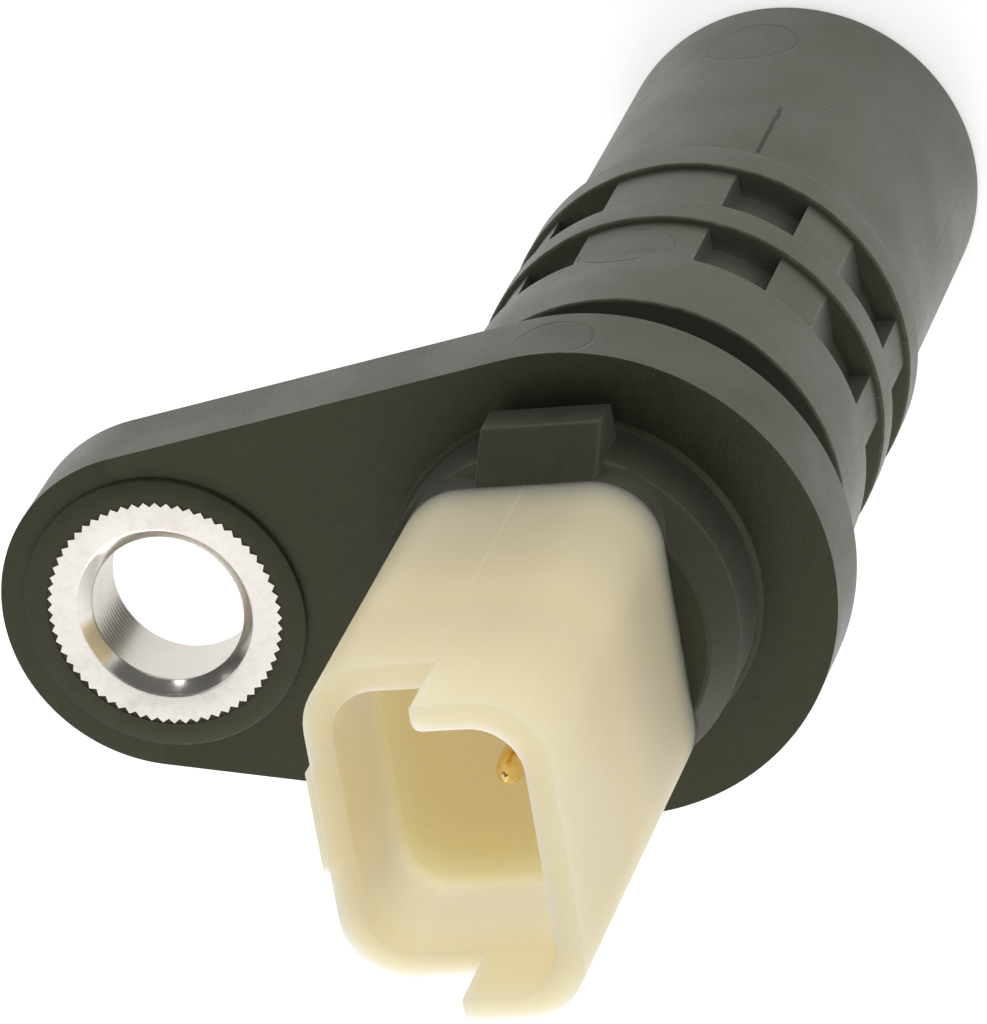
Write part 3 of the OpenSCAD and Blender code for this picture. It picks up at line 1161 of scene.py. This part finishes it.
    def ramp(self, bench: Bench) -> None:
        """Builds the ramp that the plug's latch slides up and hooks over.

        Args:
            bench: Bench to work on.
        """
        outline = [
            (0.0, self.ramp_back),
            (self.ramp_reach, self.ramp_back),
            (self.ramp_reach, self.ramp_back + self.ramp_land),
            (self.pad[1] / 2, self.collar_z),
            (0.0, self.collar_z),
        ]
        points, _ = bench.chain((-self.ramp_w / 2, y, z) for y, z in outline)
        bench.prism(bench.ring([points]), (self.ramp_w, 0.0, 0.0))

        def at_top(edge: BMEdge) -> bool:
            """Whether an edge reaches the outermost face of the ramp."""
            bent = len(edge.link_faces) == 2 and edge.calc_face_angle(0.0) > SHARP_ANGLE / 2
            return bent and any(abs(v.co.y - self.ramp_reach) < CLOSE for v in edge.verts)

        bench.ease(bench.edges(at_top), Edge.EASED.value, rub=False)

    def build(self, materials: Materials) -> Object:
        """Builds and dresses the moulding.

        Args:
            materials: Materials by their slot.

        Returns:
            The piece.
        """
        bench = Bench()
        self.turned(bench)
        self.row(bench, self.far_row_z)
        self.row(bench, self.near_row_z)
        self.flange(bench)
        self.collar(bench)
        piece = bench.finish("body_moulding", self.finish, materials)
        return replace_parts(piece, "body")


@dataclass
class PlugSocket:
    """The ivory socket with its stepped mouth, latch rib and keyed foot."""

    finish: Finish
    axis: Point = (-0.55, 0.0)
    outer: Point = (11.9, 14.8)
    outer_r: float = 3.0
    wall: float = 1.2
    inner_r: float = 2.2
    base_z: float = 54.3
    overlap: float = 0.02
    floor_z: float = 66.05
    floor_round: float = 0.4
    rim_z: float = 72.6
    lip_len: float = 4.35
    lip_x: float = -0.45
    lip_corner: float = 0.5
    rim_round: float = 0.4
    rib_w: float = 4.8
    rib_proud: float = 0.45
    rib_len: float = 7.6
    rib_drop: float = 0.4
    foot_r: float = 5.5
    foot_len: float = 6.0
    foot_rim: Point = (6.3, 1.4)

    def tube(self, bench: Bench) -> None:
        """Builds the tube with its floor and its stepped mouth.

        Args:
            bench: Bench to work on.
        """
        mesh = bench.mesh
        room = (self.outer[0] - 2 * self.wall, self.outer[1] - 2 * self.wall)
        outer = bench.rounded_ring(self.axis, self.outer, self.outer_r, self.rim_z)
        inner = bench.rounded_ring(self.axis, room, self.inner_r, self.rim_z)
        bmesh.ops.bridge_loops(mesh, edges=outer + inner)
        bmesh.ops.bisect_plane(
            mesh,
            geom=mesh.verts[:] + mesh.edges[:] + mesh.faces[:],
            dist=CLOSE,
            plane_co=(self.lip_x, 0.0, self.rim_z),
            plane_no=(1.0, 0.0, 0.0),
        )
        lip = [f for f in mesh.faces if f.calc_center_median().x > self.lip_x]
        bench.raise_faces(lip, (0.0, 0.0, self.lip_len), keep=False)
        bounds = bench.edges(lambda e: e.is_boundary)
        inside = [e for e in bounds if all(self.is_inner(v.co) for v in e.verts)]
        outside = [e for e in bounds if e not in inside]
        self.close(bench, outside, self.base_z - self.overlap)
        self.close(bench, inside, self.floor_z)
        self.rib(bench)
        self.round_mouth(bench)

    def is_inner(self, at: Vector) -> bool:
        """Whether a point lies on the socket's inner wall."""
        slack = self.wall / 2
        return (
            abs(at.x - self.axis[0]) < self.outer[0] / 2 - slack
            and abs(at.y) < self.outer[1] / 2 - slack
            and not self.is_outer_corner(at)
        )

    def is_outer_corner(self, at: Vector) -> bool:
        """Whether a point lies on the round of an outer corner.

        Args:
            at: The point.

        Returns:
            True where it does.
        """
        dx = abs(at.x - self.axis[0]) - (self.outer[0] / 2 - self.outer_r)
        dy = abs(at.y) - (self.outer[1] / 2 - self.outer_r)
        return dx > 0 and dy > 0 and math.hypot(dx, dy) > self.outer_r - CLOSE

    def close(self, bench: Bench, edges: Sequence[BMEdge], z: float) -> None:
        """Runs a wall down from open edges and closes it with a floor.

        Args:
            bench: Bench to work on.
            edges: Open edges at the rim.
            z: Height of the floor.
        """
        made = bmesh.ops.extrude_edge_only(bench.mesh, edges=list(edges))["geom"]
        for vert in (g for g in made if isinstance(g, BMVert)):
            vert.co.z = z
        wall = (g for g in made if isinstance(g, BMEdge))
        floor = [e for e in wall if all(abs(v.co.z - z) < CLOSE for v in e.verts)]
        bmesh.ops.contextual_create(bench.mesh, geom=floor)

    def round_mouth(self, bench: Bench) -> None:
        """Rounds the lip's free corners, the rims and the edge of the floor.

        Args:
            bench: Bench to work on.
        """
        top = self.rim_z + self.lip_len

        def free_end(edge: BMEdge) -> bool:
            """Whether an edge bounds a free end of the lip, apart from its foot.

            Args:
                edge: The edge.

            Returns:
                True where it does.
            """
            low, high = sorted(v.co.z for v in edge.verts)
            at_end = all(abs(v.co.x - self.lip_x) < CLOSE for v in edge.verts)
            return at_end and high > top - CLOSE and low > self.rim_z - CLOSE

        def mouth(edge: BMEdge) -> bool:
            """Whether an edge bounds the rims or the ends of the lip."""
            if len(edge.link_faces) != 2 or edge.calc_face_angle(0.0) < SHARP_ANGLE:
                return False
            return all(v.co.z > self.rim_z - CLOSE for v in edge.verts)

        def floor(edge: BMEdge) -> bool:
            """Whether an edge runs round the socket's floor."""
            return all(abs(v.co.z - self.floor_z) < CLOSE for v in edge.verts)

        bench.ease(bench.edges(free_end), self.lip_corner, 5)
        bench.ease(bench.edges(mouth), self.rim_round, 4)
        bench.ease(bench.edges(floor), self.floor_round, 3, rub=False)

    def rib(self, bench: Bench) -> None:
        """Pulls the latch rib out of the outer wall.

        Args:
            bench: Bench to work on.
        """
        wall_x = self.axis[0] - self.outer[0] / 2
        top = self.rim_z - self.rib_drop
        half = self.rib_w / 2
        middle = Vector((wall_x, 0.0, top - self.rib_len / 2))

        def over_middle() -> List[BMFace]:
            """The face of the outer wall that the rib's middle lies on."""
            flat = (f for f in bench.mesh.faces if all(abs(v.co.x - wall_x) < CLOSE for v in f.verts))
            return [f for f in flat if bmesh.geometry.intersect_face_point(f, middle)]

        for place, across in (
            ((wall_x, half, 0.0), (0.0, 1.0, 0.0)),
            ((wall_x, -half, 0.0), (0.0, 1.0, 0.0)),
            ((wall_x, 0.0, top), (0.0, 0.0, 1.0)),
            ((wall_x, 0.0, top - self.rib_len), (0.0, 0.0, 1.0)),
        ):
            face = over_middle()[0]
            bmesh.ops.bisect_plane(
                bench.mesh, geom=[face, *face.edges, *face.verts], dist=CLOSE, plane_co=place, plane_no=across
            )
        raised = bench.raise_faces(over_middle(), (-self.rib_proud, 0.0, 0.0), keep=False)
        bench.ease([e for f in raised for e in f.edges], Edge.EASED.value)

    def foot(self, bench: Bench) -> None:
        """Adds the round foot that keys the socket into the collar.

        Args:
            bench: Bench to work on.
        """
        low, top = self.base_z - self.foot_len, self.base_z + self.overlap
        rim_r, rim_h = self.foot_rim
        rim = [(0.0, low), (rim_r, low), (rim_r, low + rim_h)]
        bench.turn([*rim, (self.foot_r, low + rim_h), (self.foot_r, top), (0.0, top)], self.axis)

    def build(self, materials: Materials) -> Object:
        """Builds and dresses the socket.

        Args:
            materials: Materials by their slot.

        Returns:
            The piece.
        """
        bench = Bench()
        self.tube(bench)
        self.foot(bench)
        piece = bench.finish("plug_socket", self.finish, materials)
        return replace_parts(piece, "connector_shroud")


@dataclass
class FixingBush:
    """The knurled sleeve that the fixing screw clamps."""

    finish: Finish
    axis: Point = (-19.8, 0.0)
    low_z: float = 44.5
    top_z: float = 49.3
    tip_r: float = 5.5
    root_r: float = 5.28
    bore_r: float = 3.55
    chamfer: float = 0.6
    teeth: int = 64

    def hoop(self, bench: Bench, radius: float, z: float, root: float = 1.0) -> List[BMEdge]:
        """Outlines one round of the bush.

        Args:
            bench: Bench to work on.
            radius: Radius of the round.
            z: Its height.
            root: Share of the radius at every second point, below one for the knurl.

        Returns:
            The edges of the outline.
        """
        mesh, points = bench.mesh, 2 * self.teeth
        stand = Matrix.Translation((*self.axis, z))
        made = bmesh.ops.create_circle(mesh, radius=radius, segments=points, matrix=stand)["verts"]
        if root < 1.0:
            bmesh.ops.scale(mesh, verts=made[1::2], vec=(root, root, 1.0), space=stand.inverted())
        return edges_of(made)

    def build(self, materials: Materials) -> Object:
        """Builds and dresses the bush.

        Args:
            materials: Materials by their slot.

        Returns:
            The piece.
        """
        bench = Bench()
        wide = self.bore_r + self.chamfer
        root = self.root_r / self.tip_r
        rounds = [
            self.hoop(bench, self.tip_r, self.low_z, root),
            self.hoop(bench, self.tip_r, self.top_z, root),
            self.hoop(bench, wide, self.top_z),
            self.hoop(bench, self.bore_r, self.top_z - self.chamfer),
            self.hoop(bench, self.bore_r, self.low_z + self.chamfer),
            self.hoop(bench, wide, self.low_z),
        ]
        for here, after in zip(rounds, rounds[1:] + rounds[:1]):
            bmesh.ops.bridge_loops(bench.mesh, edges=here + after)
        mouths = bench.hoops([(wide, self.top_z), (wide, self.low_z)], self.axis)
        bench.ease(mouths, Edge.CRISP.value, 2)
        piece = bench.finish("bush_sleeve", self.finish, materials)
        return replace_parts(piece, "bush")


@dataclass
class Contacts:
    """The two gold plated contacts, from the coil's legs to the pins in the socket."""

    finish: Finish
    pin_x: float = 1.5
    pin_ys: Point = (1.1, 4.1)
    leg_ys: Point = (-4.1, 4.1)
    pin_r: float = 0.65
    leg_w: float = 1.4
    leg_z: float = 15.2
    bar_z: float = 41.85
    tip_z: float = 71.05
    nose: float = 1.4
    nose_steps: int = 10

    def contact(self, bench: Bench, leg_y: float, pin_y: float) -> None:
        """Builds one contact.

        Args:
            bench: Bench to work on.
            leg_y: Place of its leg.
            pin_y: Place of its pin.
        """
        half = self.leg_w / 2
        left, right = self.pin_x - half, self.pin_x + half
        low, high = min(leg_y, pin_y) - half, max(leg_y, pin_y) + half
        start = self.bar_z + half
        leg = ((left, leg_y - half, self.leg_z), (right, leg_y + half, start))
        bar = ((left, low, self.bar_z), (right, high, self.bar_z + self.leg_w))
        for corners in (leg, bar):
            bench.ease(bench.block(*corners), Edge.CRISP.value, 1)
        turns = [math.radians(90.0 / self.nose_steps * step) for step in range(self.nose_steps)]
        bullet = [(self.pin_r * math.cos(a), self.tip_z + self.nose * (math.sin(a) - 1.0)) for a in turns]
        profile = [(0.0, start), (self.pin_r, start), *bullet, (0.0, self.tip_z)]
        bench.turn(profile, (self.pin_x, pin_y))

    def build(self, materials: Materials) -> List[Object]:
        """Builds and dresses both contacts.

        Args:
            materials: Materials by their slot.

        Returns:
            The two pieces.
        """
        pieces = []
        for tag, leg_y, pin_y in zip("ab", self.leg_ys, self.pin_ys):
            bench = Bench()
            self.contact(bench, leg_y, pin_y)
            piece = bench.finish(f"contact_{tag}", self.finish, materials)
            pieces.append(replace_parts(piece, f"terminal_{tag}"))
        return pieces


@dataclass
class CoilStack:
    """The coil inside the probe, which keeps its CAD shapes."""

    finishes: Dict[str, Finish]

    def dress(self, nodes: Mapping[str, Object], materials: Materials) -> None:
        """Gives each CAD piece of the coil its finish.

        Args:
            nodes: CAD nodes by name.
            materials: Materials by their slot.
        """
        for node, finish in self.finishes.items():
            slots = nodes[node].data.materials
            slots.clear()
            slots.append(materials[finish.slot])
            LOG.info("%s: CAD shape in %s", node, finish.slot)


@dataclass
class SoftBox:
    """A square studio lamp that points at the sensor."""

    name: str
    place: Place
    size: float
    power: float

    def hang(self, target: Vector) -> Object:
        """Hangs the lamp.

        Args:
            target: Point that it faces.

        Returns:
            The lamp.
        """
        data = bpy.data.lights.new(self.name, "AREA")
        data.shape = "SQUARE"
        data.size = self.size
        data.energy = self.power
        lamp = put(self.name, data)
        lamp.location = self.place
        lamp.rotation_euler = (target - Vector(self.place)).to_track_quat("-Z", "Y").to_euler()
        return lamp


@dataclass
class Studio:
    """Floor, lamps, surroundings and camera."""

    camera_place: Place = (0.1054547, 0.1575117, 0.4046092)
    camera_turn: Place = (-24.9373, 12.9830, -9.6136)
    lens: float = 317.08
    sensor: float = 36.0
    clip: Point = (0.01, 20.0)
    floor_size: float = 0.36
    floor_drop: float = 0.05 * MM
    floor_rough: float = 0.9
    floor_colour: Colour = (0.85, 0.85, 0.845, 1.0)
    floor_glow: float = 0.52
    ambient: float = 0.8
    dark_side: Place = (-0.3, 0.87, 0.39)
    dark_depth: float = 0.45
    mirror_depth: float = 0.88
    room_edge: Point = (0.25, 0.5)
    horizon: float = 0.5
    sky: float = 0.55
    lamps: Tuple[SoftBox, ...] = (
        SoftBox("spot_box", (-0.236, 0.692, 0.369), 0.05, 0.2),
        SoftBox("back_box", (0.05, 0.33, 0.085), 0.16, 0.2),
        SoftBox("left_box", (-0.6, 0.1, 0.5), 0.5, 0.5),
        SoftBox("fill_box", (-0.1, -0.7, 0.2), 0.4, 2.0),
    )

    def rays(self, sheet: NodeSheet) -> Tuple[Wire, Wire]:
        """Tells the rays that show the background from those that only light.

        Args:
            sheet: Sheet to work on.

        Returns:
            One for rays from the camera, and one for rays from a mirror or through glass.
        """
        path = sheet.node("ShaderNodeLightPath", {}, {})
        names = ("Is Camera Ray", "Is Glossy Ray", "Is Transmission Ray")
        camera, glossy, through = (Wire(sheet, path.outputs[name]) for name in names)
        return camera, glossy.at_least(through)

    def paper(self, sheet: NodeSheet) -> Feeds:
        """Works out the shader of the floor, which keeps the shadow under a pale background.

        Args:
            sheet: Sheet to work on.

        Returns:
            What feeds each socket of the shader.
        """
        camera, mirror = self.rays(sheet)
        return {
            "Base Color": self.floor_colour,
            "Roughness": self.floor_rough,
            "Specular IOR Level": 0.0,
            "Emission Color": sheet.tint(camera.at_least(mirror) * self.floor_glow, BLACK, WHITE),
            "Emission Strength": 1.0,
        }

    def floor(self) -> Object:
        """Lays the pale floor that the sensor stands on.

        Returns:
            The floor.
        """
        mesh = bmesh.new()
        bmesh.ops.create_grid(mesh, x_segments=4, y_segments=4, size=self.floor_size / 2)
        bmesh.ops.translate(mesh, verts=mesh.verts, vec=(0.0, 0.0, -self.floor_drop))
        floor = put_mesh("floor", mesh, make_material("floor_paper", self.paper))
        floor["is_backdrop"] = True
        return floor

    def surroundings(self) -> None:
        """Makes the white surroundings, darker as light on the side that faces the open room."""
        world = bpy.data.worlds.new("studio")
        world.use_nodes = True
        bpy.context.scene.world = world
        sheet = NodeSheet(world.node_tree)
        camera, mirror = self.rays(sheet)
        towards = sheet.wire("ShaderNodeTexCoord", {}, {}, "Generated")
        sides = {0: towards, 1: self.dark_side}
        turned = sheet.wire("ShaderNodeVectorMath", {"operation": "DOT_PRODUCT"}, sides, "Value")
        room = sheet.fade(turned, *self.room_edge)
        _, _, up = sheet.axes(towards)
        mirrored = self.horizon + sheet.fade(up, 0.0, self.sky) * (1.0 - self.horizon)
        mirrored = mirrored * (1.0 - room * self.mirror_depth)
        spread = self.ambient * (1.0 - room * self.dark_depth)
        strength = camera.at_least(mirror * mirrored + (1.0 - mirror) * spread)
        shell = sheet.wire("ShaderNodeBackground", {}, {"Color": WHITE, "Strength": strength})
        sheet.node("ShaderNodeOutputWorld", {}, {"Surface": shell})

    def camera(self) -> Object:
        """Sets the camera where the photograph was taken from.

        Returns:
            The camera.
        """
        data = bpy.data.cameras.new("camera")
        data.lens = self.lens
        data.sensor_width = self.sensor
        data.clip_start, data.clip_end = self.clip
        camera = put("camera", data)
        camera.location = self.camera_place
        camera.rotation_euler = Euler([math.radians(a) for a in self.camera_turn], "XYZ")
        bpy.context.scene.camera = camera
        return camera

    def build(self, target: Vector) -> None:
        """Sets up the whole studio.

        Args:
            target: Middle of the sensor.
        """
        bpy.context.scene.view_settings.view_transform = "Standard"
        self.surroundings()
        self.floor()
        for lamp in self.lamps:
            lamp.hang(target)
        self.camera()
        LOG.info("studio: %d lamps", len(self.lamps))


def main() -> None:
    """Loads the frame, builds each sub-assembly and sets up the studio."""
    logging.basicConfig(level=logging.INFO, format="%(name)s %(message)s")
    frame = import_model()
    cad_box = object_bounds()
    black = BlackNylon("black_nylon")
    ivory = IvoryNylon("ivory_nylon")
    turned = TurnedAluminium("turned_aluminium")
    gold = PlainMetal("gold_plate", (0.95, 0.70, 0.28, 1.0), (0.78, 0.52, 0.17, 1.0), 0.24)
    spool = BobbinPlastic("bobbin_plastic")
    copper = EnamelledWire("copper_winding")
    iron = PlainMetal("soft_iron", (0.5, 0.51, 0.52, 1.0), (0.36, 0.36, 0.36, 1.0), 0.4)
    magnet = PlainMetal("magnet_metal", (0.25, 0.25, 0.26, 1.0), (0.16, 0.16, 0.16, 1.0), 0.5)
    finishes: List[Finish] = [black, ivory, turned, gold, spool, copper, iron, magnet]
    materials = {finish.slot: finish.material() for finish in finishes}
    Moulding(black).build(materials)
    PlugSocket(ivory).build(materials)
    FixingBush(turned).build(materials)
    Contacts(gold).build(materials)
    coil = CoilStack({"bobbin": spool, "winding": copper, "pole_pin": iron, "magnet": magnet})
    coil.dress(frame["nodes"], materials)
    Studio().build((cad_box[0] + cad_box[1]) / 2)


if __name__ == "__main__":
    main()
